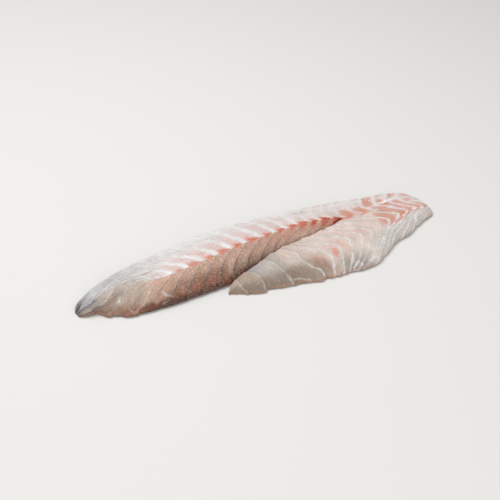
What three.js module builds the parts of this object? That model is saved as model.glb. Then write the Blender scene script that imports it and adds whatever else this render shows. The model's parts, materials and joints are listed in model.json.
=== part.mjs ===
import * as THREE from 'three';

// Raw snapper fillet, lying skin side down, head end at -X and tail end at +X.
// All lengths are millimetres. A rail is a list of (distance along the fillet, value) pairs.

// Where the loin, the belly flap and the shared tail piece begin and end.
const HEAD_X = -196.5;
const FLAP_X = -67;
const JOIN_X = 87;
const TAIL_X = 187;

// Middle of the finished outline, moved to the origin at the end.
const CENTRE_X = -3.25;
const CENTRE_Y = -5.8;

// Loin: the back edge in plan, the height of its rounded shoulder and the crown between.
const BACK_EDGE = [
  [-197, 7], [-194, 11.5], [-188, 16.5], [-178, 22], [-160, 28], [-125, 37.6], [-85, 45.2],
  [-65, 49], [-45, 51.6], [0, 52], [45, 51], [80, 50.5], [112, 46.8], [130, 42.9], [150, 41],
  [168, 39.4], [180, 34.8], [188, 25],
];
const BACK_SHOULDER = [
  [-197, 4], [-190, 7], [-170, 10], [-140, 12], [-100, 13], [-50, 12.5], [0, 11], [50, 9],
  [87, 8.5], [130, 7.5], [170, 5.5], [188, 4],
];
const LOIN_CROWN = [[-197, 0], [-150, 1.5], [-50, 1.2], [40, 0.5], [87, 0], [188, 0]];

// The ridge above the cut face: its place in plan and its height. Past the join it is the midline.
const RIDGE_LINE = [
  [-197, 4], [-193, 1.5], [-185, -0.5], [-173, 0.3], [-158, -0.5], [-146, -5], [-133, -11],
  [-120, -12.3], [-107, -12], [-83, -10], [-67, -8], [-44, -4], [-16, -1.4], [18, 2.5],
  [47, 5.5], [75, 6], [87, 4.2], [130, 4], [188, 6],
];
const RIDGE_HEIGHT = [
  [-197, 5], [-193, 8.5], [-185, 12], [-173, 16], [-158, 20], [-141, 22.5], [-120, 23.5],
  [-107, 24.2], [-83, 25.5], [-67, 26], [-16, 26], [18, 24], [47, 21.5], [75, 17.5], [87, 15],
  [130, 12], [170, 8], [188, 5],
];

// Foot of the sloping cut face, where it meets the board.
const WALL_FOOT = [
  [-197, 0], [-194, -2.5], [-188, -4.5], [-182.5, -4.8], [-180, -7.3], [-176, -10.3],
  [-172, -13.6], [-163, -20.3], [-151, -24.6], [-131, -25.6], [-115, -26.6], [-98, -25.6],
  [-73, -24.6], [-60, -23.6], [-45, -20.6], [-20, -14.8], [20, -7], [60, 0.5], [87, 4.2],
];

// Belly flap: the cut edge beside the gap, its height, its foot, and the outer front edge.
const CUT_EDGE = [
  [-67, -34], [-62, -30.5], [-50, -25.5], [-28, -19], [-7, -11.5], [13, -6.5], [36, -4.5],
  [56, -1.3], [76, 1.5], [87, 4.2],
];
const CUT_HEIGHT = [
  [-67, 3.5], [-62, 6.5], [-50, 9.5], [-28, 11.5], [-7, 12.5], [13, 13], [36, 13.5],
  [56, 13.5], [76, 14], [87, 15],
];
const FLAP_FOOT = [
  [-67, -34.5], [-62, -32], [-50, -27.5], [-28, -21.5], [-7, -15.5], [13, -10.5], [36, -6.5],
  [56, -3], [76, 0.8], [87, 4.2],
];
const FRONT_EDGE = [
  [-67, -35], [-61, -38], [-54, -43.5], [-48, -45.5], [-37, -49.3], [-33, -48.8], [-20, -51],
  [-5, -54], [10, -58.1], [25, -61.9], [38, -63.2], [41, -61.9], [52, -62.6], [62, -63.6],
  [72, -62.8], [81, -61], [87, -58.2], [92, -54.5], [99, -51.5], [108, -46.5], [114, -42.5],
  [122, -38.8], [138, -35], [155, -26.8], [172, -20], [182, -16], [188, -9],
];
const FRONT_SHOULDER = [
  [-67, 3], [-30, 5], [20, 5.5], [60, 6], [90, 7], [130, 7.5], [170, 5.5], [188, 4],
];
const FLAP_CROWN = [[-67, 0], [-30, 1], [10, 2], [50, 1.5], [87, 0], [188, 0]];

// Rounding of the outer edges, tuck of the underside and of the cut foot.
const EDGE_ROLL = 9;
const EDGE_TUCK = 3;
const FOOT_TUCK = 1.5;
const WALL_SAG = 0.9;
const FLAP_WALL_SAG = -0.5;

// Rounding of the tips, bow of the tail end.
const TIP_ROUND = 4;
const TAIL_ROUND = 5;
const TAIL_BOW = 3;

// Muscle segments: their pitch along the ridge, one line's place, and how far they stand proud.
const SEGMENT_PITCH = 16.5;
const SEGMENT_START = -47;
const WALL_LEAN = 22;
const WALL_RELIEF = 0.7;
const TOP_RELIEF = 0.35;
const FLAP_RELIEF = 0.5;

// Chevron lines of the flap, numbered from its tip: the point, its depth across the flap
// (0 at the cut edge, 1 at the front edge) and the backward reach of the two arms.
const CHEVRON_POINT = [
  [0, -57], [1, -34.5], [2, -11], [3, 21.5], [4, 40.5], [5, 54], [6, 71], [7, 85], [8, 99],
  [9, 114], [10, 129], [11, 146], [12, 157], [13, 170], [14, 179], [15, 187],
];
const CHEVRON_DEPTH = [[0, 0.6], [2, 0.75], [3, 0.88], [4, 0.6], [5, 0.46], [9, 0.42], [12, 0.24],
  [14, 0.38], [15, 0.5]];
const UPPER_REACH = [[0, 3], [2, 9], [3, 19], [4, 34], [6, 30], [9, 33], [11, 23], [13, 10], [15, 8]];
const LOWER_REACH = [[0, 2], [2, -6], [3, 1], [4, 9.5], [6, 23], [8, 48], [10, 65], [13, 72], [15, 40]];
const CHEVRONS = 16;

// A torn slit beside the midline near the tail, and the dark hollow in the point of the gap.
const SLIT_X = 146;
const SLIT_Y = 15;
const SLIT_LENGTH = 9;
const SLIT_DEPTH = 1.2;

// How finely the solid is divided.
const STATION_STEP = 2.9;
const EDGE_STEPS = 2;
const TOP_STEPS = 13;
const WALL_STEPS = 6;

const clamp = (v, low, high) => Math.min(Math.max(v, low), high);

// Smooth curve through a rail that never overshoots its points.
function rail(points) {
  const n = points.length;
  const slope = [];
  for (let i = 0; i < n - 1; i++) {
    slope.push((points[i + 1][1] - points[i][1]) / (points[i + 1][0] - points[i][0]));
  }
  const tangent = [slope[0]];
  for (let i = 1; i < n - 1; i++) {
    const a = slope[i - 1];
    const b = slope[i];
    tangent.push(a * b <= 0 ? 0 : (2 * a * b) / (a + b));
  }
  tangent.push(slope[n - 2]);
  return (x) => {
    const at = clamp(x, points[0][0], points[n - 1][0]);
    let i = 0;
    while (i < n - 2 && at > points[i + 1][0]) i++;
    const h = points[i + 1][0] - points[i][0];
    const t = (at - points[i][0]) / h;
    const t2 = t * t;
    const t3 = t2 * t;
    return points[i][1] * (2 * t3 - 3 * t2 + 1) + points[i + 1][1] * (3 * t2 - 2 * t3)
      + h * (tangent[i] * (t3 - 2 * t2 + t) + tangent[i + 1] * (t3 - t2));
  };
}

const backEdge = rail(BACK_EDGE);
const backShoulder = rail(BACK_SHOULDER);
const loinCrown = rail(LOIN_CROWN);
const ridgeLine = rail(RIDGE_LINE);
const ridgeHeight = rail(RIDGE_HEIGHT);
const wallFoot = rail(WALL_FOOT);
const cutEdge = rail(CUT_EDGE);
const cutHeight = rail(CUT_HEIGHT);
const flapFoot = rail(FLAP_FOOT);
const frontEdge = rail(FRONT_EDGE);
const frontShoulder = rail(FRONT_SHOULDER);
const flapCrown = rail(FLAP_CROWN);
const chevronPoint = rail(CHEVRON_POINT);
const chevronDepth = rail(CHEVRON_DEPTH);
const upperReach = rail(UPPER_REACH);
const lowerReach = rail(LOWER_REACH);

// Overlapping leaves: each segment rises slowly towards the tail and drops at its line.
function leaf(phase) {
  const f = phase - Math.floor(phase);
  return (f < 0.82 ? f / 0.82 : (1 - f) / 0.18) - 0.5;
}

// Segment count at a place on top of the loin: across is 0 at the back edge, 1 at the ridge.
function loinPhase(x, across) {
  const sweep = 30 * clamp((x + 20) / 80, 0, 1) * clamp((0.75 - across) / 0.75, 0, 1) ** 1.2;
  const hook = 4 * Math.sin(Math.PI * clamp((1 - across) / 0.6, 0, 1));
  return (x + hook - sweep - SEGMENT_START) / SEGMENT_PITCH;
}

// Segment count on the cut face: down is 0 at the ridge, 1 at the board.
function wallPhase(x, down) {
  const lean = WALL_LEAN * (1 - (1 - down) ** 2);
  return (x + lean - SEGMENT_START) / SEGMENT_PITCH;
}

// Distance along the fillet of chevron k at a depth across the flap.
function chevronX(k, across) {
  const depth = chevronDepth(k);
  const arm = across < depth
    ? upperReach(k) * ((depth - across) / depth) ** 1.4
    : lowerReach(k) * ((across - depth) / (1 - depth)) ** 1.3;
  return chevronPoint(k) - arm;
}

// Segment count on the flap.
function flapPhase(x, across) {
  let before = chevronX(0, across);
  if (x <= before) return (x - before) / 20;
  for (let k = 1; k < CHEVRONS; k++) {
    const next = chevronX(k, across);
    if (x < next) return k - 1 + (x - before) / Math.max(next - before, 0.1);
    before = next;
  }
  return CHEVRONS - 1 + (x - before) / 20;
}

// Fall of the surface towards a rounded end.
function endFall(x, end, length) {
  const k = clamp(Math.abs(x - end) / length, 0, 1);
  return Math.sqrt(1 - (1 - k) ** 2);
}

// Height factors of the slit torn in the top near the tail.
function slit(x, y) {
  const along = (x - SLIT_X) / SLIT_LENGTH;
  const off = (y - SLIT_Y - 0.12 * (x - SLIT_X)) / 2.2;
  return SLIT_DEPTH * Math.exp(-(along ** 2) - off ** 2);
}

// One lobe's section at x, from the outer edge on the board, over the top, to the inner edge.
// A lobe before the join ends in a wall down to the board; after it, at the midline.
function section(x, lobe, walled) {
  const loin = lobe === 'loin';
  const side = loin ? 1 : -1;
  const outer = loin ? backEdge(x) : frontEdge(x);
  const shoulder = loin ? backShoulder(x) : frontShoulder(x);
  const crown = loin ? loinCrown(x) : flapCrown(x);
  const inner = loin || !walled ? ridgeLine(x) : cutEdge(x);
  const height = loin || !walled ? ridgeHeight(x) : cutHeight(x);
  const foot = loin ? wallFoot(x) : flapFoot(x);
  const width = Math.abs(inner - outer);
  const tuck = Math.min(EDGE_TUCK, width * 0.2);
  const low = 0.35 * shoulder;
  const start = loin ? HEAD_X : FLAP_X;
  const fall = Math.min(endFall(x, TAIL_X + 0.15, TAIL_ROUND), endFall(x, start - 0.2, TIP_ROUND));
  const ring = [];
  for (let i = 0; i < EDGE_STEPS; i++) {
    const angle = (i / EDGE_STEPS) * Math.PI / 2;
    ring.push([outer - side * tuck * (1 - Math.sin(angle)), low * (1 - Math.cos(angle)) * fall]);
  }
  const roll = Math.min(EDGE_ROLL / width, 0.5);
  const middle = (shoulder + 3 * height) / 4 + crown;
  for (let i = 0; i < TOP_STEPS; i++) {
    const q = i / (TOP_STEPS - 1);
    const t = 0.35 * q * q + 0.65 * q;
    const bend = 2 * shoulder - 4 * middle + 2 * height;
    const rise = -3 * shoulder + 4 * middle - height;
    const base = shoulder + rise * t + bend * t * t;
    const turn = Math.sqrt(1 - (1 - clamp(t / roll, 0, 1)) ** 2);
    const y = outer + (inner - outer) * t;
    const phase = loin ? loinPhase(x, t) : flapPhase(x, 1 - t);
    const smooth = walled ? 1 : clamp((1 - t) / 0.25, 0, 1);
    const plain = loin ? clamp((x + 130) / 40, 0, 1) : 1;
    const relief = (loin ? TOP_RELIEF : FLAP_RELIEF) * leaf(phase) * plain;
    const z = low + (base - low) * turn + relief * smooth * clamp((t - 0.05) / 0.2, 0, 1);
    ring.push([y, (z - slit(x, y)) * fall]);
  }
  if (!walled) return ring;
  const sag = loin ? WALL_SAG : FLAP_WALL_SAG;
  const crest = ring[ring.length - 1][1];
  for (let i = 1; i <= WALL_STEPS; i++) {
    const q = i / WALL_STEPS;
    const reach = Math.min(q / 0.88, 1);
    const under = FOOT_TUCK * clamp((q - 0.88) / 0.12, 0, 1) ** 2;
    const relief = loin ? WALL_RELIEF * leaf(wallPhase(x, q)) * Math.sin(Math.PI * q) : 0;
    const settle = clamp((JOIN_X - x) / 20, 0, 1);
    const y = inner + (foot - inner) * reach
      - side * sag * Math.sin(Math.PI * reach) * settle - relief * settle + side * under * settle;
    ring.push([y, crest * (1 - q)]);
  }
  return ring;
}

// Distances of the sections, closer together at a rounded end.
function stations(from, to, endsAt) {
  const count = Math.max(3, Math.round((to - from) / STATION_STEP));
  const list = [];
  for (let i = 0; i <= count; i++) list.push(from + (to - from) * i / count);
  const step = (to - from) / count;
  if (endsAt === 'start') list.splice(1, 0, from + 0.2 * step, from + 0.55 * step);
  if (endsAt === 'end') list.splice(count, 0, to - 0.55 * step, to - 0.2 * step);
  return list;
}

// The whole skin, gathered as shared points and triangles.
const positions = [];
const faces = [];

function addPoint(x, y, z) {
  const back = clamp((x - TAIL_X + 25) / 25, 0, 1);
  const bow = back * TAIL_BOW * (1 - ((y - 5) / 24) ** 2);
  positions.push(x + bow - CENTRE_X, y - CENTRE_Y, z);
  return positions.length / 3 - 1;
}

function quad(a, b, c, d, flip) {
  if (flip) faces.push(a, c, b, a, d, c);
  else faces.push(a, b, c, a, c, d);
}

// Joins rings of points into a band; closing across the underside is one flat strip.
function skin(rings, flip) {
  for (let i = 0; i < rings.length - 1; i++) {
    const near = rings[i];
    const far = rings[i + 1];
    for (let j = 0; j < near.length - 1; j++) {
      quad(near[j], near[j + 1], far[j + 1], far[j], flip);
    }
    quad(near[near.length - 1], near[0], far[0], far[far.length - 1], flip);
  }
}

// Tail piece: loin and flap halves share the midline above and below.
const tailRings = { loin: [], flap: [] };
const middleTop = [];
const middleFoot = [];
for (const x of stations(JOIN_X, TAIL_X, 'end')) {
  const loin = section(x, 'loin', false);
  const flap = section(x, 'flap', false);
  const crest = loin[loin.length - 1];
  middleTop.push(addPoint(x, crest[0], crest[1]));
  middleFoot.push(addPoint(x, crest[0], 0));
  const at = middleTop.length - 1;
  for (const [name, ring] of [['loin', loin], ['flap', flap]]) {
    const row = ring.slice(0, -1).map(([y, z]) => addPoint(x, y, z));
    tailRings[name].push([...row, middleTop[at], middleFoot[at]]);
  }
}

// The wall between the two halves doesn't exist behind the join, so only its foot is closed.
for (const name of ['loin', 'flap']) {
  const flip = name === 'flap';
  const rings = tailRings[name];
  for (let i = 0; i < rings.length - 1; i++) {
    const near = rings[i];
    const far = rings[i + 1];
    const last = near.length - 1;
    for (let j = 0; j < last - 1; j++) quad(near[j], near[j + 1], far[j + 1], far[j], flip);
    quad(near[last], near[0], far[0], far[last], flip);
  }
}

// Lobes before the join, each with its cut wall; the last ring is the join's own points.
const joinWall = [];
for (let i = 1; i < WALL_STEPS; i++) {
  const crest = positions[middleTop[0] * 3 + 2];
  joinWall.push(addPoint(JOIN_X, ridgeLine(JOIN_X), crest * (1 - i / WALL_STEPS)));
}
for (const [name, from] of [['loin', HEAD_X], ['flap', FLAP_X]]) {
  const flip = name === 'flap';
  const list = stations(from, JOIN_X, 'start').slice(0, -1);
  const rings = list.map((x) => section(x, name, true).map(([y, z]) => addPoint(x, y, z)));
  const join = tailRings[name][0];
  rings.push([...join.slice(0, -1), ...joinWall, middleFoot[0]]);
  skin(rings, flip);
  const tip = rings[0];
  for (let j = 1; j < tip.length - 1; j++) {
    if (flip) faces.push(tip[0], tip[j], tip[j + 1]);
    else faces.push(tip[0], tip[j + 1], tip[j]);
  }
}

// Blunt tail end.
for (const name of ['loin', 'flap']) {
  const rings = tailRings[name];
  const end = rings[rings.length - 1];
  const last = end.length - 1;
  for (let j = 0; j < last - 1; j++) {
    if (name === 'loin') faces.push(end[last], end[j], end[j + 1]);
    else faces.push(end[last], end[j + 1], end[j]);
  }
}

const geometry = new THREE.BufferGeometry();
geometry.setAttribute('position', new THREE.Float32BufferAttribute(positions, 3));
geometry.setIndex(faces);
geometry.computeVertexNormals();

// Raw white fish: pale, slightly pink and wet.
const flesh = new THREE.MeshStandardMaterial({ color: 0xdcc7bb, roughness: 0.35, metalness: 0 });

const fillet = new THREE.Mesh(geometry, flesh);
fillet.name = 'fillet';

const group = new THREE.Group();
group.name = 'snapper_fillet';
group.add(fillet);

export default group;
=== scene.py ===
"""A raw snapper fillet, skin side down, head end at -X and tail end at +X."""

import json
import math

import bpy
import numpy as np
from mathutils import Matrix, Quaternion, Vector

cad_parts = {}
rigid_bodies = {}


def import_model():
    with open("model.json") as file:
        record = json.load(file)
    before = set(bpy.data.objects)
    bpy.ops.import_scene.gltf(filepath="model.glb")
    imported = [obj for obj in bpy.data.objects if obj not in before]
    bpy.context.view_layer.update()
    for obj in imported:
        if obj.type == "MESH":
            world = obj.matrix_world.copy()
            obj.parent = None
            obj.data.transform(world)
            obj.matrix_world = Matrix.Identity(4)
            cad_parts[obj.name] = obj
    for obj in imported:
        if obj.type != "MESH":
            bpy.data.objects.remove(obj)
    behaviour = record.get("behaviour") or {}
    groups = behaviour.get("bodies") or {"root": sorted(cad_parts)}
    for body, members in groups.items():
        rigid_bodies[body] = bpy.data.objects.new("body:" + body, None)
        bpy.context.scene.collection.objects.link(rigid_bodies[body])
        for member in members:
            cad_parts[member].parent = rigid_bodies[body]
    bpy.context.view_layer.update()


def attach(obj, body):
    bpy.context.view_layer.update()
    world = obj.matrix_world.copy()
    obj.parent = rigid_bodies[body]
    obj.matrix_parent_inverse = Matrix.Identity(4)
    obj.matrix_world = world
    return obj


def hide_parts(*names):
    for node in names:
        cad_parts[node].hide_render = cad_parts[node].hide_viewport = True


for thing in list(bpy.data.objects):
    bpy.data.objects.remove(thing)
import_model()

# The loin: the thick strip of back muscle, from the head end to the tail.
# Raw white fish, trimmed by knife, so its outline is a smooth curve through a few
# places. All distances of the fillet are in millimetres until the mesh is made.
HEAD_X = -196.5
JOIN_X = 87.0
TAIL_X = 187.0
CENTRE_X = -3.25
CENTRE_Y = -5.8

BACK_EDGE = [(-197, 7), (-194, 11.5), (-188, 16.5), (-178, 22), (-160, 28), (-125, 37.6),
             (-85, 45.2), (-65, 49), (-45, 51.6), (0, 52), (45, 51), (80, 50.5), (112, 46.8),
             (130, 42.9), (150, 41), (168, 39.4), (180, 34.8), (188, 25)]
BACK_SHOULDER = [(-197, 4), (-190, 7), (-170, 10), (-140, 12), (-100, 13), (-50, 12.5), (0, 11),
                 (50, 9), (87, 8.5), (130, 7.5), (170, 5.5), (188, 4)]
LOIN_CROWN = [(-197, 0), (-150, 1.5), (-50, 1.2), (40, 0.5), (87, 0), (188, 0)]
RIDGE_LINE = [(-197, 4), (-193, 1.5), (-185, -0.5), (-173, 0.3), (-158, -0.5), (-146, -5),
              (-133, -11), (-120, -12.3), (-107, -12), (-83, -10), (-67, -8), (-44, -4),
              (-16, -1.4), (18, 2.5), (47, 5.5), (75, 6), (87, 4.2), (130, 4), (188, 6)]
RIDGE_HEIGHT = [(-197, 5), (-193, 8.5), (-185, 12), (-173, 16), (-158, 20), (-141, 22.5),
                (-120, 23.5), (-107, 24.2), (-83, 25.5), (-67, 26), (-16, 26), (18, 24),
                (47, 21.5), (75, 17.5), (87, 15), (130, 12), (170, 8), (188, 5)]
WALL_FOOT = [(-197, 0), (-194, -2.5), (-188, -4.5), (-182.5, -4.8), (-180, -7.3), (-176, -10.3),
             (-172, -13.6), (-163, -20.3), (-151, -24.6), (-131, -25.6), (-115, -26.6),
             (-98, -25.6), (-73, -24.6), (-60, -23.6), (-45, -20.6), (-20, -14.8), (20, -7),
             (60, 0.5), (87, 4.2)]


def rail(points):
    """Smooth curve through the points, which never overshoots them."""
    x = np.array([p[0] for p in points], float)
    v = np.array([p[1] for p in points], float)
    h = np.diff(x)
    slope = np.diff(v) / h
    inner = np.zeros(len(slope) - 1)
    same = slope[:-1] * slope[1:] > 0
    inner[same] = 2 * slope[:-1][same] * slope[1:][same] / (slope[:-1] + slope[1:])[same]
    tangent = np.concatenate([slope[:1], inner, slope[-1:]])

    def at(place):
        q = np.clip(np.asarray(place, float), x[0], x[-1])
        i = np.clip(np.searchsorted(x, q) - 1, 0, len(h) - 1)
        t = (q - x[i]) / h[i]
        return (v[i] * (2 * t**3 - 3 * t**2 + 1) + v[i + 1] * (3 * t**2 - 2 * t**3)
                + h[i] * (tangent[i] * (t**3 - 2 * t**2 + t) + tangent[i + 1] * (t**3 - t**2)))

    return at


def ramp(value, low, high):
    """0 below low, 1 above high, smooth in between."""
    t = np.clip((value - low) / (high - low), 0, 1)
    return t * t * (3 - 2 * t)


back_edge = rail(BACK_EDGE)
back_shoulder = rail(BACK_SHOULDER)
loin_crown = rail(LOIN_CROWN)
ridge_line = rail(RIDGE_LINE)
ridge_height = rail(RIDGE_HEIGHT)
wall_foot = rail(WALL_FOOT)

# Segments of the loin: blocks of muscle like overlapping leaves, split by thin sheets of
# white tissue. On top they sweep forward at the head and back at the tail; on the cut
# face they lean back from the ridge to the foot.
WALL_LEAN = 23.5
WALL_REACH = 0.85
WALL_SPAN = 32.0
segment_count = rail([(-197, -9.1), (-47, 0), (-12.5, 2.05), (5, 3.05), (34, 5), (61, 7),
                      (89, 9), (120, 11), (152, 13), (190, 15.7)])
segment_hook = rail([(-197, 34), (-130, 24), (-85, 18), (-68, 13.5), (-48, 9.5), (-30, 8),
                     (-15, 6.5), (0, 5), (40, 4), (190, 3)])
segment_sweep = rail([(-197, 0), (-20, 0), (20, 6), (60, 26), (100, 26), (130, 20), (190, 18)])
tail_hook = rail([(80, 0), (87, 0), (104, 5.5), (120, 10), (136, 13), (152, 9), (166, 4),
                  (181, 0)])


def loin_phase(x, across):
    """Segment count on top of the loin: across is 0 at the back edge, 1 at the ridge."""
    # Behind the gap the lines bend back to meet those of the flap on the midline.
    bend = np.clip((across - 0.68) / 0.32, 0, 1) ** 1.3
    x = x - tail_hook(x - tail_hook(x) * bend) * bend
    hook = segment_hook(x) * np.sin(np.pi / 2 * np.clip((1 - across) / 0.65, 0, 1)) ** 1.5
    sweep = segment_sweep(x) * np.clip((0.78 - across) / 0.78, 0, 1) ** 1.2
    return segment_count(x + hook - sweep)


def wall_phase(x, down):
    """Segment count on the cut face: down is 0 at the ridge, 1 at the foot."""
    lean = WALL_LEAN * (1 - (1 - np.clip(down / WALL_REACH, 0, 1)) ** 1.9)
    # At the head the leaves run on forward along the foot.
    run_on = 35 * np.clip(down - 0.5, 0, 1) * ramp(-x, 112, 135)
    return segment_count(x + lean + run_on)


# The belly flap: the thin strip in front of the gap that the pin bones were cut from.
# Its segments show as big round leaves at the tip, then as chevrons towards the tail.
FLAP_X = -67.0
CUT_EDGE = [(-67, -34), (-62, -30.5), (-50, -25.5), (-28, -19), (-7, -11.5), (13, -6.5),
            (36, -4.5), (56, -1.3), (76, 1.5), (87, 4.2)]
CUT_HEIGHT = [(-67, 3.5), (-62, 6.5), (-50, 9.5), (-28, 11.5), (-7, 12.5), (13, 13), (36, 13.5),
              (56, 13.5), (76, 14), (87, 15)]
FLAP_FOOT = [(-67, -34.5), (-62, -32), (-50, -27.5), (-28, -21.5), (-7, -15.5), (13, -10.5),
             (36, -6.5), (56, -3), (76, 0.8), (87, 4.2)]
FRONT_EDGE = [(-67, -35), (-61, -38.3), (-57, -40.8), (-53, -44), (-46, -45.9), (-40.5, -48.6),
              (-37.2, -49.6), (-35.6, -49.1), (-33.4, -46.6), (-25, -49.3), (-10, -52.4),
              (1, -55.3), (11, -59), (16, -60.3), (24, -59.9), (31, -61), (37, -63.2), (41, -61.9),
              (52, -62.2), (59, -63.6), (72, -62.8), (81, -61), (87, -58.2), (92, -54.5),
              (99, -51.5), (108, -46.5), (114, -42.5), (122, -38.8), (138, -35), (155, -26.8),
              (172, -20), (182, -16), (188, -9)]
FRONT_SHOULDER = [(-67, 3), (-30, 5), (20, 5.5), (60, 6), (90, 7), (130, 7.5), (170, 5.5),
                  (188, 4)]
FLAP_CROWN = [(-67, 0), (-30, 1), (10, 2), (50, 1.5), (87, 0), (188, 0)]

cut_edge = rail(CUT_EDGE)
cut_height = rail(CUT_HEIGHT)
flap_foot = rail(FLAP_FOOT)
front_edge = rail(FRONT_EDGE)
front_shoulder = rail(FRONT_SHOULDER)
flap_crown = rail(FLAP_CROWN)

# The lines are numbered from the tip: the place of each one's point, how deep it lies, and
# how far its two arms reach back.
CHEVRONS = 16
LAST_LEAF = 20.0
chevron_point = rail([(0, -56.5), (1, -35), (2, -12.2), (3, 21.7), (4, 39.6), (5, 54.8),
                      (6, 70.4), (7, 84.9), (8, 98.2), (9, 114), (10, 127.4), (11, 144),
                      (12, 158), (13, 170), (14, 179), (15, 187)])
chevron_depth = rail([(0, 0.6), (1, 0.55), (2, 0.65), (3, 0.88), (4, 0.64), (5, 0.54), (6, 0.46),
                      (7, 0.48), (8, 0.52), (9, 0.46), (10, 0.41), (12, 0.38), (14, 0.42),
                      (15, 0.5)])
upper_reach = rail([(0, -2), (1, 8), (2, 8), (3, 19), (4, 31), (5, 40), (6, 37), (7, 33), (8, 39),
                    (9, 45), (10, 39), (11, 21), (12, 14), (13, 10), (14, 8), (15, 7)])
lower_reach = rail([(0, -4), (1, 1.5), (2, -2.5), (3, 0.5), (4, 8.5), (5, 13.8), (6, 22), (7, 33),
                    (8, 42), (9, 51), (10, 65), (13, 60), (15, 40)])
lower_curve = rail([(0, 1.3), (6, 1.2), (8, 1.3), (9, 1.9), (10, 2.4), (11, 1.5), (13, 1.3)])


def chevron_x(k, across):
    """Distance along the fillet of line k: across is 0 at the cut edge, 1 at the front."""
    depth = chevron_depth(k)
    above = upper_reach(k) * (np.clip(depth - across, 0, 1) / depth) ** 1.4
    below = lower_reach(k) * (np.clip(across - depth, 0, 1) / (1 - depth)) ** lower_curve(k)
    # The third leaf was pressed in, so its edge has a hollow.
    hollow = 6.0 * (k == 3) * ramp(across, 0.3, 0.62) * ramp(0.87 - across, 0, 0.1)
    return chevron_point(k) - above - below - hollow


def flap_phase(x, across):
    """Segment count on the flap."""
    x, across = np.broadcast_arrays(x, across)
    line = chevron_x(0, across)
    phase = (x - line) / LAST_LEAF
    for k in range(1, CHEVRONS + 1):
        after = chevron_x(min(k, CHEVRONS - 1), across) + LAST_LEAF * (k // CHEVRONS)
        inside = (x > line) & (x <= after)
        phase = np.where(inside, k - 1 + (x - line) / np.maximum(after - line, 0.1), phase)
        line = np.maximum(line, after)
    return phase


# The surface of each lobe: rounded outer edge, crowned top and cut wall, with the leaves
# as low relief. A section is taken about every millimetre along the fillet.
STATION_STEP = 0.95
END_STEPS = np.array([0.12, 0.3, 0.6])
EDGE_ROWS = 4
TOP_ROWS = 58
WALL_ROWS = 26
UNDER_ROWS = 8

# Rows on top lie closer together towards the outer edge.
TOP_ROW = np.linspace(0, 1, TOP_ROWS)
TOP_ACROSS = 0.35 * TOP_ROW * TOP_ROW + 0.65 * TOP_ROW

# Outer edge: the reach of its rounding, the tuck below, and where it stands out most, as
# a share of the shoulder's height.
EDGE_ROLL = 9.0
EDGE_TUCK = 3.0
LOW_SHARE = 0.35

# Cut walls: their sag, and the tuck at the foot, which starts at a share of the way down.
# Before the join their unevenness settles over a length, and the ridge is evened out.
LOIN_SAG = 0.9
FLAP_SAG = -0.5
FOOT_TUCK = 1.5
FOOT_FROM = 0.88
SETTLE_LENGTH = 20.0
RIDGE_SOFTENING = 4

# How far the leaves stand proud.
LOIN_RELIEF = 0.35
FLAP_RELIEF = 0.5
WALL_RELIEF = 0.7

# A slit torn in the top near the tail, and a loose bit of flesh at the foot near the head.
SLIT_X = 146
SLIT_Y = 15
SLIT_SLANT = 0.12
SLIT_LENGTH = 9
SLIT_WIDTH = 2.2
SLIT_DEPTH = 1.2
SCRAP_X = -175
SCRAP_OUT = 2.8
SCRAP_HALF = 3

# Ends: their rounding, the split in the tip of the head end and the bow of the tail end.
TIP_ROUND = 4.0
TAIL_ROUND = 5.0
TIP_SPLIT = 3.0
SPLIT_Y = 4.4
SPLIT_WIDTH = 1.1
TAIL_BOW = 2.98
BOW_LENGTH = 25
BOW_Y = 5
BOW_HALF = 24

MOTTLE_CELLS = 97


def mottle(x, y, size, seed):
    """Soft random value from -1 to 1 that changes over about size, the same each run."""
    # The shift of 300.5 keeps all places on the fillet positive.
    grid = np.random.default_rng(seed).uniform(-1, 1, (MOTTLE_CELLS, MOTTLE_CELLS))
    u = np.asarray(x, float) / size + 300.5
    v = np.asarray(y, float) / size + 300.5
    iu = np.floor(u).astype(int)
    iv = np.floor(v).astype(int)
    fu = u - iu
    fv = v - iv
    fu = fu * fu * (3 - 2 * fu)
    fv = fv * fv * (3 - 2 * fv)
    a, b, c, d = (grid[(iu + i) % MOTTLE_CELLS, (iv + j) % MOTTLE_CELLS]
                  for i, j in ((0, 0), (1, 0), (0, 1), (1, 1)))
    return (a * (1 - fu) + b * fu) * (1 - fv) + (c * (1 - fu) + d * fu) * fv


def head_fold(x, down):
    """Slanting folds of the cut face near the tip of the head end, from -1 to 1."""
    return mottle(x + 50 * down, 8 * down, 5.0, 37) * ramp(-x, 148, 165)


def leaf(phase, drop=0.14):
    """Overlapping leaves: each rises slowly towards the tail and drops at its line."""
    f = phase - np.floor(phase)
    return np.where(f < 1 - drop, f / (1 - drop), (1 - f) / drop) - 0.5


def end_fall(x, end, length):
    """Height factor that rounds off an end over a length."""
    k = np.clip(np.abs(x - end) / length, 0, 1)
    return np.sqrt(np.clip(1 - (1 - k) ** 2, 0, 1))


def stations(start, end, close_start=False, close_end=False):
    """Distances of the sections, closer together at a rounded end."""
    count = int(round((end - start) / STATION_STEP))
    t = np.linspace(0, 1, count + 1)
    x = start + (end - start) * t
    if close_start:
        x = np.sort(np.append(x, x[0] + STATION_STEP * END_STEPS))
    if close_end:
        x = np.sort(np.append(x, x[-1] - STATION_STEP * END_STEPS))
    return x


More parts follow.
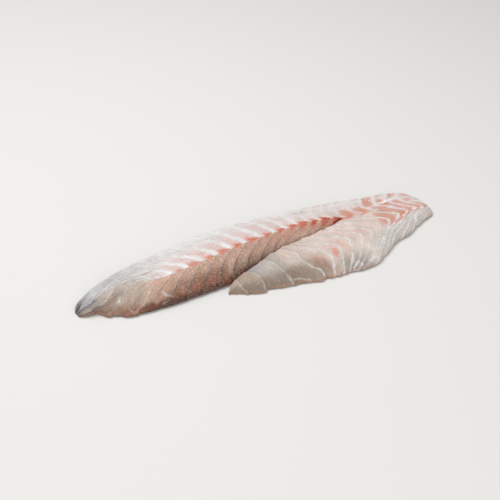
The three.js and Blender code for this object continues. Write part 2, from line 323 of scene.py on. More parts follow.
def lobe_surface(x, lobe, walled):
    """Points (x, y, z) of one lobe's edge and top, and of its wall, one row per section."""
    loin = lobe == "loin"
    side = 1 if loin else -1
    outer = back_edge(x) if loin else front_edge(x)
    # The knife leaves an uneven outline, with small notches where the segments end.
    notch = 0.45 * (1 + mottle(x, 0, 5.2, 11 + loin)) + 0.3 * (1 + mottle(x, 0, 2.1, 13 + loin))
    if not loin:
        notch = notch * (1 + 1.7 * ramp(-x, -80, -40)) - 1.3 * ramp(-x, -10, 20)
    outer = outer - side * notch * (0.5 if loin else 1)
    shoulder = back_shoulder(x) if loin else front_shoulder(x)
    crown = loin_crown(x) if loin else flap_crown(x)
    inner = ridge_line(x) if loin or not walled else cut_edge(x)
    settled = np.clip((JOIN_X - x) / SETTLE_LENGTH, 0, 1) * walled
    nibbled = 1 if loin else 1 + 2.2 * ramp(x, -30, 0)
    inner = inner + settled * nibbled * (0.5 * mottle(x, 0, 6.3, 15 + loin)
                                         + 0.3 * mottle(x, 0, 2.2, 17 + loin))
    height = ridge_height(x) if loin or not walled else cut_height(x)
    width = np.abs(inner - outer)
    tuck = np.minimum(EDGE_TUCK, width * 0.2)
    low = LOW_SHARE * shoulder
    # The ends lie a hair beyond the first and last section, so those keep some height.
    start = HEAD_X if loin else FLAP_X
    fall = np.minimum(end_fall(x, TAIL_X + 0.15, TAIL_ROUND), end_fall(x, start - 0.2, TIP_ROUND))
    outer, width, shoulder, crown, inner, height, low, fall, tuck = (
        value[:, None] for value in (outer, width, shoulder, crown, inner, height, low, fall, tuck))
    angle = np.linspace(0, np.pi / 2, EDGE_ROWS, endpoint=False)[None]
    edge_y = outer - side * tuck * (1 - np.sin(angle))
    edge_z = low * (1 - np.cos(angle)) * fall
    t = TOP_ACROSS[None]
    roll = np.minimum(EDGE_ROLL / width, 0.5)
    middle = (shoulder + 3 * height) / 4 + crown
    base = (shoulder + (-3 * shoulder + 4 * middle - height) * t
            + (2 * shoulder - 4 * middle + 2 * height) * t * t)
    turn = np.sqrt(1 - (1 - np.clip(t / roll, 0, 1)) ** 2)
    top_y = outer + (inner - outer) * t
    xx = np.broadcast_to(x[:, None], top_y.shape)
    if loin:
        relief = LOIN_RELIEF * leaf(loin_phase(xx, t)) * ramp(xx, -130, -90) - 0.08
    else:
        relief = FLAP_RELIEF * leaf(flap_phase(xx, 1 - t))
    if not walled:
        relief = relief * np.clip((1 - t) / 0.25, 0, 1)
    if loin:
        relief = relief + 0.11 * mottle(xx, top_y, 2.3, 31) + 0.07 * mottle(xx, top_y, 1.3, 32)
    else:
        relief = relief + 0.09 * mottle(xx, top_y, 2.3, 33) + 0.06 * mottle(xx, top_y, 1.3, 34)
    off_slit = top_y - SLIT_Y - SLIT_SLANT * (xx - SLIT_X)
    slit = SLIT_DEPTH * np.exp(-((xx - SLIT_X) / SLIT_LENGTH) ** 2 - (off_slit / SLIT_WIDTH) ** 2)
    top_z = (low + (base - low) * turn + relief * ramp(t, 0.05, 0.25) - slit) * fall
    y = np.concatenate([edge_y, top_y], 1)
    z = np.concatenate([edge_z, top_z], 1)
    if walled:
        foot = wall_foot(x) if loin else flap_foot(x)
        fringe = 2.2 * mottle(x, 0, 4.4, 19) + 1.2 * mottle(x, 0, 2.0, 18)
        fringe = fringe * ramp(-x, 140, 155) * ramp(x, -186, -178)
        fringe = fringe - SCRAP_OUT * np.exp(-((x - SCRAP_X) / SCRAP_HALF) ** 4)
        foot = (foot + loin * (fringe + 0.4 + 0.4 * mottle(x, 0, 3.0, 20)) * settled)[:, None]
        q = (np.arange(1, WALL_ROWS + 1) / WALL_ROWS)[None]
        reach = np.minimum(q / FOOT_FROM, 1)
        under = FOOT_TUCK * np.clip((q - FOOT_FROM) / (1 - FOOT_FROM), 0, 1) ** 2
        settle = np.clip((JOIN_X - x[:, None]) / SETTLE_LENGTH, 0, 1)
        sag = LOIN_SAG if loin else FLAP_SAG
        xx = np.broadcast_to(x[:, None], (len(x), WALL_ROWS))
        relief = WALL_RELIEF * leaf(wall_phase(xx, q)) * np.sin(np.pi * q) if loin else 0
        down_mm = WALL_SPAN * q
        rough = 0.16 * mottle(xx, down_mm, 1.7, 35) + 0.2 * mottle(xx, down_mm, 4.1, 36)
        rough = rough + 0.6 * head_fold(xx, q) * loin
        relief = relief + rough * np.sin(np.pi * q) ** 0.5
        wall_y = (inner + (foot - inner) * reach
                  + settle * (side * under - side * sag * np.sin(np.pi * reach) - relief))
        wall_z = top_z[:, -1:] * (1 - q)
        y = np.concatenate([y, wall_y], 1)
        z = np.concatenate([z, wall_z], 1)
        # The ridge is no sharp edge: four rows on each side of it are evened out.
        ridge = EDGE_ROWS + TOP_ROWS - 1
        for _ in range(RIDGE_SOFTENING):
            for a in (y, z):
                part = a[:, ridge - 4:ridge + 5]
                soft = (a[:, ridge - 5:ridge + 4] + 2 * part + a[:, ridge - 3:ridge + 6]) / 4
                part += (soft - part) * settle
    xx = np.broadcast_to(x[:, None], y.shape)
    bow = (TAIL_BOW * np.clip((xx - TAIL_X + BOW_LENGTH) / BOW_LENGTH, 0, 1)
           * (1 - ((y - BOW_Y) / BOW_HALF) ** 2))
    # The tip of the head end is split between two layers.
    split = TIP_SPLIT * ramp(-xx, 190, 197) * np.exp(-((y - SPLIT_Y) / SPLIT_WIDTH) ** 2)
    return np.stack([xx + bow + split, y, z], -1)


# Joining the lobes: the loin and the flap grow together behind the gap and share a middle
# line above and below. Every face keeps its own place on the fish, so that the colours
# can change sharply where two surfaces meet.
points = []
faces = []
places = []
face_places = []


def add_points(array):
    """Adds points to the mesh and gives their numbers, in the same order."""
    first = len(points)
    points.extend(array.reshape(-1, 3).tolist())
    return np.arange(first, first + array[..., 0].size).reshape(array.shape[:-1])


def add_surface(ids, spots, kind, flip):
    """Faces over a grid of points. spots are (along, across) and kind says which surface."""
    first = len(places)
    flat = spots.reshape(-1, 2)
    places.extend([(a, b, kind) for a, b in flat.tolist()])
    own = np.arange(first, first + len(flat)).reshape(ids.shape)
    for grid, target in ((ids, faces), (own, face_places)):
        quads = np.stack([grid[:-1, :-1], grid[:-1, 1:], grid[1:, 1:], grid[1:, :-1]], -1)
        quads = quads.reshape(-1, 4)
        if flip:
            quads = quads[:, ::-1]
        target.extend(quads.tolist())


def spots_of(x, across):
    """The place (along, across) of every point of a grid."""
    return np.stack(np.broadcast_arrays(x[:, None], across[None]), -1)


# The kinds of surface that a place can lie on.
LOIN_TOP, LOIN_WALL, FLAP_TOP, FLAP_WALL, UNDER = range(5)

tail_x = stations(JOIN_X, TAIL_X, close_end=True)
ring_across = np.concatenate([np.zeros(EDGE_ROWS), TOP_ACROSS])
wall_across = np.arange(0, WALL_ROWS + 1) / WALL_ROWS
under_across = np.linspace(0, 1, UNDER_ROWS)

tail_loin = lobe_surface(tail_x, "loin", False)
tail_flap = lobe_surface(tail_x, "flap", False)
middle_top = add_points(tail_loin[:, -1])
middle_foot_points = tail_loin[:, -1].copy()
middle_foot_points[:, 2] = 0
middle_foot = add_points(middle_foot_points)
wall_drop = (1 - wall_across[1:-1])[:, None]
join_wall = tail_loin[0, -1][None] * np.concatenate(
    [np.ones_like(wall_drop), np.ones_like(wall_drop), wall_drop], 1)
join_ids = add_points(join_wall)

for lobe, start, tail in (("loin", HEAD_X, tail_loin), ("flap", FLAP_X, tail_flap)):
    flip = lobe == "flap"
    top_kind = LOIN_TOP if lobe == "loin" else FLAP_TOP
    wall_kind = LOIN_WALL if lobe == "loin" else FLAP_WALL
    across = ring_across if lobe == "loin" else 1 - ring_across
    front_x = stations(start, JOIN_X, close_start=True)[:-1]
    front = lobe_surface(front_x, lobe, True)
    front_ids = add_points(front)
    tail_ids = np.concatenate([add_points(tail[:, :-1]), middle_top[:, None]], 1)
    ring = EDGE_ROWS + TOP_ROWS
    top_ids = np.concatenate([front_ids[:, :ring], tail_ids], 0)
    all_x = np.concatenate([front_x, tail_x])
    add_surface(top_ids, spots_of(all_x, across), top_kind, flip)
    last_wall = np.concatenate([[middle_top[0]], join_ids, [middle_foot[0]]])
    wall_ids = np.concatenate([front_ids[:, ring - 1:], last_wall[None]], 0)
    add_surface(wall_ids, spots_of(np.append(front_x, JOIN_X), wall_across), wall_kind, flip)
    inner_ids = np.concatenate([front_ids[:, -1], middle_foot])
    outer_ids = top_ids[:, 0]
    where = np.array(points)
    inner_at = where[inner_ids][:, None]
    outer_at = where[outer_ids][:, None]
    blend = under_across[1:-1][None, :, None]
    under_ids = np.concatenate([inner_ids[:, None], add_points(
        inner_at * (1 - blend) + outer_at * blend), outer_ids[:, None]], 1)
    add_surface(under_ids, spots_of(all_x, under_across), UNDER, flip)
    # The tip and the tail end are closed by the outline of their last section.
    for ids, foot, row, turned in ((front_ids[0], under_ids[0, 1:-1], 0, not flip),
                                   (tail_ids[-1], under_ids[-1, :-1], -1, flip)):
        loop = list(ids) + list(foot)
        x_end = all_x[row]
        first = len(places)
        places.extend([(x_end, 0.5, top_kind)] * len(loop))
        own = list(range(first, first + len(loop)))
        if turned:
            loop.reverse()
        faces.append(loop)
        face_places.append(own)

points = np.array(points)
places = np.array(places)

flesh_mesh = bpy.data.meshes.new("raw_snapper_flesh")
origin = np.array([CENTRE_X, CENTRE_Y, 0])
flesh_mesh.from_pydata(((points - origin) / 1000).tolist(), [], faces)
flesh_mesh.validate(verbose=True)
flesh_mesh.update()
print("faces", len(flesh_mesh.polygons), "points", len(flesh_mesh.vertices))

# Colours of the flesh, painted by place: silver-white on top of the loin, tan on the cut
# face, greige and see-through at the flap's tip, salmon towards the tail.


def colour(text):
    """Linear colour from an sRGB hex value."""
    c = np.array([int(text[i:i + 2], 16) for i in (1, 3, 5)]) / 255
    return np.where(c <= 0.04045, c / 12.92, ((c + 0.055) / 1.055) ** 2.4)


def over(below, text, amount):
    """Paints an sRGB hex colour over a field of colours by an amount from 0 to 1."""
    return below + (colour(text) - below) * np.clip(amount, 0, 1)[:, None]


X, ACROSS, KIND = places[:, 0], places[:, 1], places[:, 2]
on_loin = KIND == LOIN_TOP
on_wall = KIND == LOIN_WALL
on_flap = KIND == FLAP_TOP
span = np.where(on_flap, np.abs(cut_edge(X) - front_edge(X)),
                np.abs(ridge_line(X) - back_edge(X)))
span = np.where(on_wall, WALL_SPAN, np.maximum(span, 5))
blotch = mottle(X, ACROSS * span, 4.5, 21)
speckle = mottle(X, ACROSS * span, 1.9, 22)


def spot(x, across, size_x, size_across, slant=0.0):
    """A soft round mark, wide size_x along the fillet; slant leans it, in mm per unit across."""
    away = ACROSS - across
    return np.exp(-((X - x - slant * away) / size_x) ** 2 - (away / size_across) ** 2)


def streak(start, end, size):
    """A soft stroke from start to end, both (x, across), which is size mm wide each way."""
    run = end[0] - start[0]
    rise = (end[1] - start[1]) * span
    from_x = X - start[0]
    from_y = (ACROSS - start[1]) * span
    t = np.clip((from_x * run + from_y * rise) / (run * run + rise * rise), 0, 1)
    return np.exp(-((from_x - t * run) ** 2 + (from_y - t * rise) ** 2) / size**2)


def patch(low_x, high_x, low, high, soft=2.5):
    """A patch between two distances and two places across, with uneven edges."""
    x = X + 2.5 * blotch
    edge = soft / span
    # The same blotches read backwards serve as a second, unlike set.
    a = ACROSS + 1.5 * blotch[::-1] / span
    return (ramp(x, low_x - soft, low_x + soft) * ramp(-x, -high_x - soft, -high_x + soft)
            * ramp(a, low - edge, low + edge) * ramp(-a, -high - edge, -high + edge))


def flat(text):
    """One colour everywhere."""
    return colour(text) + np.zeros((len(X), 3))


def blob(x, across, long, high, slant=0.0):
    """A stain with a full middle and uneven edges; slant leans it, in mm per unit across."""
    away = ACROSS - across
    near = ((X - x - slant * away) / long) ** 2 + (away / high) ** 2
    return np.exp(-(near * (1 + 0.5 * blotch)) ** 1.5)


def paint_loin_top():
    # Silver at the head, then warm white; the tip is almost black.
    tint = over(flat("#cecdce"), "#e6e1df", ramp(X, -168, -112))
    tint = over(tint, "#7d808c", ramp(-X, 176, 194) * 0.8)
    tint = over(tint, "#e8ddd9", ramp(X, 0, 50))
    tint = over(tint, "#d8cac0", 0.4 * ramp(blotch, -0.1, 0.7) * ramp(X, 15, 50)
                * ramp(-X, -150, -120))
    tint = over(tint, "#c5b9ad", 0.6 * blob(50, 0.42, 10, 0.14))
    tint = over(tint, "#f4ece8", 0.6 * blob(30, 0.8, 34, 0.2))
    tint = over(tint, "#e0d2c9", ramp(X, 172, 184))
    tint = over(tint, "#4d505a", ramp(-X, 188, 194))
    tint = over(tint, "#26272c", 0.9 * ramp(-X, 193, 196))
    tint = over(tint, "#b5aaa2", 0.75 * ramp(ACROSS + 0.03 * speckle, 0.8, 1.0)
                * ramp(-X, 120, 150))
    tint = over(tint, "#f2efee", 0.6 * ramp(0.5 - ACROSS, 0, 0.15) * ramp(X, -120, -80))
    # Pink shows in front of the ridge and, fainter, over the thick middle.
    pink = 0.65 * ramp(X, -142, -90) * ramp(-X, -64, -46) * ramp(ACROSS, 0.42, 0.95)
    pink -= 0.2 * ramp(X, 0, 30) * ramp(-X, -64, -46)
    pink += (0.25 * ramp(X, -35, -15) * ramp(-X, -45, -30) * ramp(ACROSS, 0.25, 0.4)
             * ramp(0.8 - ACROSS, 0, 0.2))
    pink += 0.5 * ramp(X, -45, 10) * ramp(-X, -110, -80) * ramp(0.4 - ACROSS, 0, 0.25)
    pink += 0.4 * ramp(X, 86, 98) * ramp(-X, -176, -162) * ramp(ACROSS, 0.6, 0.8)
    pink += (0.35 * blob(-137, 0.81, 9, 0.08)
             + 0.3 * ramp(X, 58, 66) * ramp(-X, -92, -84) * ramp(ACROSS, 0.55, 0.85))
    # Bands of pink between the lines of the tail piece.
    for x, across, long, high, slant, strength in (
            (95, 0.85, 9, 0.17, 0, 1.2), (110.5, 0.85, 9.5, 0.17, 0, 1.1),
            (126, 0.6, 8, 0.13, -60, 1.1), (131, 0.45, 7.5, 0.24, -20, 1.25),
            (132, 0.92, 12, 0.09, 0, 0.8), (142, 0.52, 6.5, 0.12, 0, 1.25),
            (148, 0.86, 8, 0.1, 30, 0.8), (163, 0.8, 10, 0.13, 0, 1.0),
            (163, 0.29, 7, 0.17, -30, 1.0), (178, 0.33, 7, 0.16, -20, 1.0),
            (150, 0.2, 9, 0.16, -60, 0.8), (134, 0.14, 14, 0.14, -60, 0.6),
            (181, 0.75, 6, 0.2, 0, 0.5)):
        pink += strength * blob(x, across, long, high, slant)
    return tint, pink


def paint_wall():
    tint = over(flat("#b8aea1"), "#d3b09c", ramp(X, -152, -128))
    tint = over(tint, "#c29c87", ramp(ACROSS, 0.05, 0.35) * ramp(X, -130, -112)
                * ramp(-X, 50, 66))
    tint = over(tint, "#cfab97", ramp(X, -66, -50) * ramp(0.4 - ACROSS, 0, 0.2))
    tint = over(tint, "#dfb09c", ramp(X, -10, 40))
    # Darker down the cut face: partly its own colour, partly painted shade.
    tint = over(tint, "#a98b75", ramp(ACROSS, 0.25, 0.6) * (0.6 - 0.3 * ramp(X, -20, 15)))
    tint = over(tint, "#9a6850", ramp(ACROSS, 0.35, 0.62) * ramp(-X, 56, 66)
                * ramp(X, -135, -115))
    # Painted shade: grey-brown low on the cut face, where the flap stands close in front of it.
    tint = over(tint, "#786a5b", 0.8 * ramp(ACROSS, 0.42, 0.72) * ramp(X, -57, -48)
                * ramp(-X, 10, 30))
    # Dark brown towards the foot, which lies in shade.
    tint = over(tint, "#693823", ramp(ACROSS + 0.05 * blotch, 0.62, 0.76) * ramp(-X, 10, 40))
    tint = over(tint, "#4a2415", ramp(ACROSS, 0.8, 0.95))
    tint = over(tint, "#8c5840", 0.65 * ramp(ACROSS, 0.2, 0.45) * ramp(X, -112, -100)
                * ramp(-X, 52, 64))
    # Painted shade: near black along the foot in the middle of the cut face.
    tint = over(tint, "#3a170b", 0.9 * ramp(ACROSS, 0.7, 0.8) * ramp(X, -135, -125)
                * ramp(-X, 55, 68))
    # Pale salmon in the point of the gap.
    tint = over(tint, "#f6b8a2", ramp(X, 54, 64))
    # Painted light: paler low on the cut face towards the join, against the shade of the gap.
    tint = over(tint, "#f0cfba", 0.9 * ramp(ACROSS, 0.28, 0.42) * ramp(0.95 - ACROSS, 0, 0.15)
                * ramp(X, 15, 35))
    for x, a, long, high in ((-90, 0.62, 6, 0.05), (-72, 0.6, 4, 0.07), (-60, 0.72, 4, 0.05)):
        tint = over(tint, "#a54a38", 0.7 * blob(x, a, long, high) * ramp(speckle, -0.5, 0.3))
    # Greige, then blue grey, towards the tip of the head end.
    tint = over(tint, "#9a836e", ramp(-X, 140, 165) * ramp(ACROSS, 0.45, 0.7) * 0.85)
    tint = over(tint, "#6e645d", ramp(-X - 30 * ACROSS, 150, 172) * 0.9)
    tint = over(tint, "#6c7383", ramp(-X - 40 * ACROSS, 168, 180) * 0.85)
    tint = over(tint, "#2b2b30", 0.8 * ramp(-X, 192.5, 195.5))
    # Folds near the tip, with painted shade on one side of each and painted light on the other,
    # and the rim of an oval one.
    fold_light_and_shade = head_fold(X, ACROSS)
    tint = over(tint, "#7d6553", 0.45 * ramp(-fold_light_and_shade, 0.05, 0.6))
    tint = over(tint, "#cfc4b6", 0.5 * ramp(fold_light_and_shade, 0.1, 0.6))
    tint = over(tint, "#cbc1ba", 0.6 * ramp(0.2 - ACROSS, 0, 0.2) * ramp(-X, 125, 150)
                * ramp(X, -186, -176))
    rim = (streak((-133, 0.17), (-137, 0.33), 0.7) + streak((-137, 0.33), (-145, 0.67), 0.7)
           + streak((-145, 0.67), (-155, 0.84), 0.7))
    tint = over(tint, "#e0d3c8", 0.5 * rim)
    tint = over(tint, "#a85f45", 0.7 * ramp(-X, 146, 154) * ramp(ACROSS, 0.6, 0.74)
                * ramp(speckle, -0.1, 0.4))
    pink = 0.1 + 0.2 * ramp(X, 45, 65) + 0.25 * ramp(X, -10, 25) * ramp(0.4 - ACROSS, 0, 0.3)
    pink += 0.35 * ramp(X, -35, -15) * ramp(-X, -25, -15) * ramp(0.4 - ACROSS, 0, 0.2)
    return tint, pink


def paint_flap():
    # Greige at the thin, see-through tip, then warm white.
    tint = over(flat("#ae9b8a"), "#bfb6ad", ramp(X, -42, -32))
    tint = over(tint, "#d9cac0", ramp(X, -16, 6))
    tint = over(tint, "#e2d5cc", ramp(X, 12, 45))
    tint = over(tint, "#85776a", 0.85 * ramp(ACROSS, 0.4, 1.0) * ramp(-X, -38, 0))
    tint = over(tint, "#8d7867", 0.6 * blob(0, 0.8, 14, 0.12))
    tint = over(tint, "#a07f6b", 0.8 * blob(27, 0.78, 10, 0.25, 20))
    # Painted shade on the low part of the flap, fading out between 24 and 36 mm along.
    tint = over(tint, "#8f7c6b", 0.5 * ramp(ACROSS, 0.55, 0.85) * ramp(-X, -36, -24))
    tint = over(tint, "#ddd2c9", 0.5 * streak((-9.5, 0.93), (-2, 0.95), 0.8))
    tint = over(tint, "#ddd2c9", 0.5 * streak((-2, 0.95), (7, 0.99), 0.8))
    tint = over(tint, "#9f9589", 0.9 * ramp(ACROSS, 0.6, 0.9) * ramp(X, 32, 50)
                * ramp(-X, -85, -62))
    tint = over(tint, "#8089a0", 0.7 * spot(58, 0.97, 8, 0.04) * ramp(speckle, 0, 0.5))
    tint = over(tint, "#a9adb8", 0.55 * blob(-34, 0.17, 8, 0.16))
    tint = over(tint, "#d6cec5", ramp(ACROSS, 0.55, 0.7) * ramp(X, 75, 100))
    tint = over(tint, "#d0c2b5", ramp(X, 168, 182) * ramp(ACROSS, 0.3, 0.5))
    tint = over(tint, "#f6eee8", ramp(X, 146, 156) * ramp(0.45 - ACROSS, 0, 0.15))
    tint = over(tint, "#c08a6c", ramp(ACROSS + 0.012 * speckle, 0.98, 0.994)
                * (0.6 - 0.35 * ramp(X, 40, 80)))
    for start, end in (((13.5, 0.66), (15, 0.77)), ((15, 0.77), (20, 0.87)),
                       ((20, 0.87), (21.6, 0.97)), ((38.8, 0.68), (36, 0.83)),
                       ((36, 0.83), (31.8, 0.98))):
        tint = over(tint, "#ece6e2", 0.45 * streak(start, end, 1.1))
    tint = over(tint, "#f0e8e3", 0.8 * ramp(X, -30, 0) * ramp(-X, -78, -66)
                * ramp(0.035 + 0.015 * speckle - ACROSS, 0, 0.02))
    # Pink in the middle of some leaves; strong behind the gap, above the point of each line.
    pink = 0.15 * ramp(X, 30, 60) * ramp(0.8 - ACROSS, 0.0, 0.3)
    pink += (0.2 * ramp(X, 30, 40) * ramp(-X, -66, -56) * ramp(ACROSS, 0.3, 0.45)
             * ramp(0.8 - ACROSS, 0, 0.1))
    pink += 0.5 * blob(3, 0.31, 10, 0.16) * ramp(speckle, -0.3, 0.4)
    pink += 0.25 * blob(25, 0.62, 12, 0.16) + 0.14 * blob(62, 0.5, 13, 0.14)
    pink += 0.3 * blob(90, 0.42, 10, 0.12)
    pink += 0.9 * blob(46.3, 0.625, 3.4, 0.1, -20)
    low = 0.64 - 0.12 * ramp(X, 130, 178)
    pink += 1.2 * ramp(X + 3 * blotch, 114, 124) * ramp(low - ACROSS, -0.03, 0.05)
    pink -= 0.5 * spot(119, 0.1, 8, 0.16, 30)
    pink -= 0.3 * ramp(X, 166, 180) * ramp(ACROSS, 0.28, 0.4)
    return tint, pink


tint = np.zeros((len(X), 3))
pink = np.zeros(len(X))
for here, paint in ((on_loin, paint_loin_top), (on_wall, paint_wall), (on_flap, paint_flap)):
    part_tint, part_pink = paint()
    tint[here] = part_tint[here]
    pink[here] = part_pink[here]
tint[KIND == FLAP_WALL] = colour("#c6a48f")
tint[KIND == UNDER] = colour("#c4b8ae")

# Torn threads of white tissue, and painted highlights: brighter streaks where water stands.
threads_and_glints = ((on_loin, (142, 0.675), (154, 0.6), 1.6), (on_loin, (154, 0.6), (166, 0.56), 1.4),
           (on_loin, (121, 0.81), (137, 0.72), 0.8), (on_loin, (137, 0.72), (143, 0.86), 0.8),
           (on_loin, (143, 0.86), (150, 0.98), 0.8), (on_loin, (137, 0.7), (136, 0.4), 0.8),
           (on_loin, (146.5, 0.95), (148.5, 0.99), 1.2), (on_flap, (147, 0.0), (149, 0.1), 1.1),
           (on_flap, (149, 0.1), (158, 0.21), 0.8), (on_flap, (141, 0.24), (145.6, 0.36), 1.4),
           (on_flap, (145.6, 0.36), (137.4, 0.49), 1.4), (on_flap, (167, 0.32), (165.8, 0.44), 1.3),
           (on_flap, (165.8, 0.44), (159, 0.49), 0.8), (on_flap, (174.4, 0.44), (177, 0.53), 1.2),
           (on_flap, (168.5, 0.64), (161, 0.73), 1.1), (on_flap, (161, 0.73), (157.3, 0.81), 1.0),
           (on_wall, (-196.2, 0.12), (-184, 0.02), 0.9),
           (on_wall, (-182.4, 0.52), (-175, 0.29), 0.6),
           (on_wall, (-175, 0.29), (-165, 0.07), 0.6), (on_wall, (-164, 0.47), (-162, 0.33), 0.8),
           (on_wall, (-125.4, 0.43), (-123, 0.55), 1.2), (on_wall, (-123, 0.55), (-117, 0.64), 1.0),
           (on_wall, (-158, 0.68), (-156, 0.8), 0.6), (on_wall, (-128, 0.8), (-122, 0.74), 0.8),
           (on_wall, (-102, 0.62), (-100.5, 0.68), 1.0),
           (on_wall, (-68.5, 0.68), (-67, 0.62), 0.9), (on_wall, (-52.5, 0.74), (-51, 0.66), 0.8))
# Painted highlights: short bright glints where water stands.
threads_and_glints += tuple((where, (x, a), (x + 2, a + rise), 1.5) for where, x, a, rise in (
    (on_loin, 147, 0.98, 0.01), (on_flap, 148.6, 0.05, 0.01), (on_flap, 164.6, 0.41, 0.02),
    (on_flap, 174.2, 0.48, 0.02), (on_flap, 146.6, 0.49, 0.02), (on_flap, 140.4, 0.48, 0.02)))
thread_and_glint = np.zeros(len(X))
for here, start, end, size in threads_and_glints:
    thread_and_glint = np.maximum(thread_and_glint, here * streak(start, end, size) * (0.8 + 0.3 * speckle))
tint = over(tint, "#faf9f9", (1.0 - 0.45 * on_wall) * thread_and_glint)
pink *= 1 - thread_and_glint

# Blood left by the pin bones: one spot for each segment along the ridge, small towards the
# head, deep red in the point of the gap. A few more marks lie on the flap and near the tail.
blood = np.zeros(len(X))
spot_strength = rail([(-115, 0.2), (-90, 0.4), (-40, 0.48), (0, 0.52), (30, 0.56), (55, 0.72),
                      (90, 0.84)])
spot_depth = rail([(-110, 0.05), (0, 0.08), (30, 0.13), (50, 0.28), (68, 0.38), (90, 0.44)])
for spot_x in (-105, -88, -71.5, -55, -38.5, -21, -4, 13, 27.5, 41, 54, 68, 81):
    strength = float(spot_strength(spot_x))
    uneven = 1 + 0.3 * math.sin(1.7 * spot_x)
    # Each spot narrows away from the ridge, upwards as well as down the cut face.
    up = 1 - ACROSS
    half_up = 5.4 * uneven * np.clip(1.1 - 6 * up, 0.35, 1)
    half_down = 5.6 * uneven * np.clip(1.1 - 2.2 * ACROSS, 0.35, 1)
    above = np.exp(-((X - spot_x - 2 + 60 * up) / half_up) ** 4
                   - (up / (0.085 * uneven)) ** 1.3) * strength * 1.4
    below = np.exp(-((X - spot_x + 14 * ACROSS) / half_down) ** 4
                   - (ACROSS / spot_depth(spot_x)) ** 2) * strength
    blood += above * on_loin + below * on_wall
blood += (on_wall * 0.9 * ramp(X + 4 * speckle, 76, 82)
          * ramp(0.7 - ACROSS + 0.12 * speckle, 0, 0.25))
blood += on_wall * 0.25 * spot(-172, 0.72, 2.5, 0.1)
blood += on_loin * (0.9 * streak((141, 0.735), (151, 0.71), 1.4)
                    + 0.32 * blob(94, 0.91, 10, 0.17)
                    + 0.3 * blob(112, 0.89, 9, 0.18) + 0.14 * blob(126, 0.6, 9, 0.14, -60)
                    + 0.16 * blob(145, 0.5, 7, 0.12, -20) + 0.2 * blob(159, 0.79, 7, 0.13))
blood += on_flap * (0.5 * blob(92, 0.01, 9, 0.06) + 0.5 * blob(111, 0, 8, 0.05)
                    + 0.2 * patch(124, 133, 0.38, 0.58, 2)
                    + 0.34 * patch(143, 154, 0.3, 0.46, 1.5)
                    + 0.24 * patch(157, 164, 0.18, 0.38, 2)
                    + 0.2 * patch(172, 179, 0.12, 0.36, 2))
blood = np.clip(blood * (1 + 0.35 * speckle) * (1 - thread_and_glint), 0, 1)

# Lines of white tissue between the segments: how strong and how wide they are by place,
# and how much painted shade each leaf gets behind its line.
line = np.zeros(len(X))
width = np.ones(len(X))
shade = np.zeros(len(X))
behind_gap = ramp(X, 82, 88) * ramp(-X, -126, -118)
line[on_loin] = ((0.85 - 0.65 * ramp(-X, 100, 135) - 0.2 * ramp(X, 10, 50)
                  - 0.25 * ramp(X, 80, 100))
                 * (1 - 0.5 * ramp(ACROSS, 0.72, 0.85) * behind_gap))[on_loin]
width[on_loin] = (4.2 - 1.2 * ramp(X, 35, 70) + 1.2 * ramp(X, -30, -10) * ramp(-X, -45, -35)
                  - 0.6 * ramp(0.8 - ACROSS, 0, 0.4))[on_loin]
shade[on_loin] = 0.1
# They fade on the oval fold near the head end.
oval = ramp(-X, 136, 146) * ramp(X, -184, -174)
line[on_wall] = (0.33 * (1 - 0.7 * oval) * (1 - 0.85 * ramp(ACROSS, 0.5, 0.75)))[on_wall]
width[on_wall] = 0.6
shade[on_wall] = ((0.2 + 0.42 * ramp(ACROSS, 0.15, 0.5)) * (1 - 0.75 * ramp(-X, 112, 135))
                  * (1 - 0.7 * ramp(X, -15, 20)))[on_wall]
line[on_flap] = (0.72 - 0.33 * ramp(-X, -38, -8) - 0.1 * ramp(ACROSS, 0.5, 0.7)
                 + (0.5 - 0.65 * ramp(X, 150, 168) * ramp(ACROSS, 0.7, 0.85))
                 * ramp(X, 80, 110) * ramp(ACROSS, 0.5, 0.7))[on_flap]
width[on_flap] = (1.2 + 0.3 * ramp(ACROSS, 0.4, 0.6)
                  - 0.5 * ramp(X, 80, 110) * ramp(ACROSS, 0.45, 0.65))[on_flap]
shade[on_flap] = (0.14 + 0.14 * ramp(-X, -38, -8))[on_flap]

# How striped the fibres look, where they are silvery, and how coarse the cut across them is.
stripes = 1 - 0.45 * ramp(X, 40, 75)
stripes[on_wall] = (0.5 + 0.35 * ramp(X, 5, 30))[on_wall]
stripes[on_flap] = (0.28 + 0.12 * ramp(X, -10, 10)
                    + 0.5 * ramp(X, 85, 120) * ramp(ACROSS, 0.45, 0.65))[on_flap]
silver = on_loin * ramp(-X, 100, 140) + 0.6 * on_wall * ramp(-X, 150, 172)
coarse = (on_wall * (1 - 0.75 * ramp(-X, 100, 140))
          * (1 - 0.4 * ramp(ACROSS, 0.45, 0.65) * ramp(-X, 50, 65))
          + 0.3 * on_flap * ramp(-X, -60, 0))

# Each place's segment count, and how fast it changes, so that a line keeps its real width.
segment = np.zeros(len(X))
rate = np.ones(len(X))
for here, phase_at in ((on_loin, loin_phase), (on_wall, wall_phase), (on_flap, flap_phase)):
    x, a = X[here], ACROSS[here]
    segment[here] = phase_at(x, a)
    along = phase_at(x + 0.5, a) - phase_at(x - 0.5, a)
    sideways = (phase_at(x, a + 0.01) - phase_at(x, a - 0.01)) / 0.02 / span[here]
    rate[here] = np.maximum(np.hypot(along, sideways), 0.01)

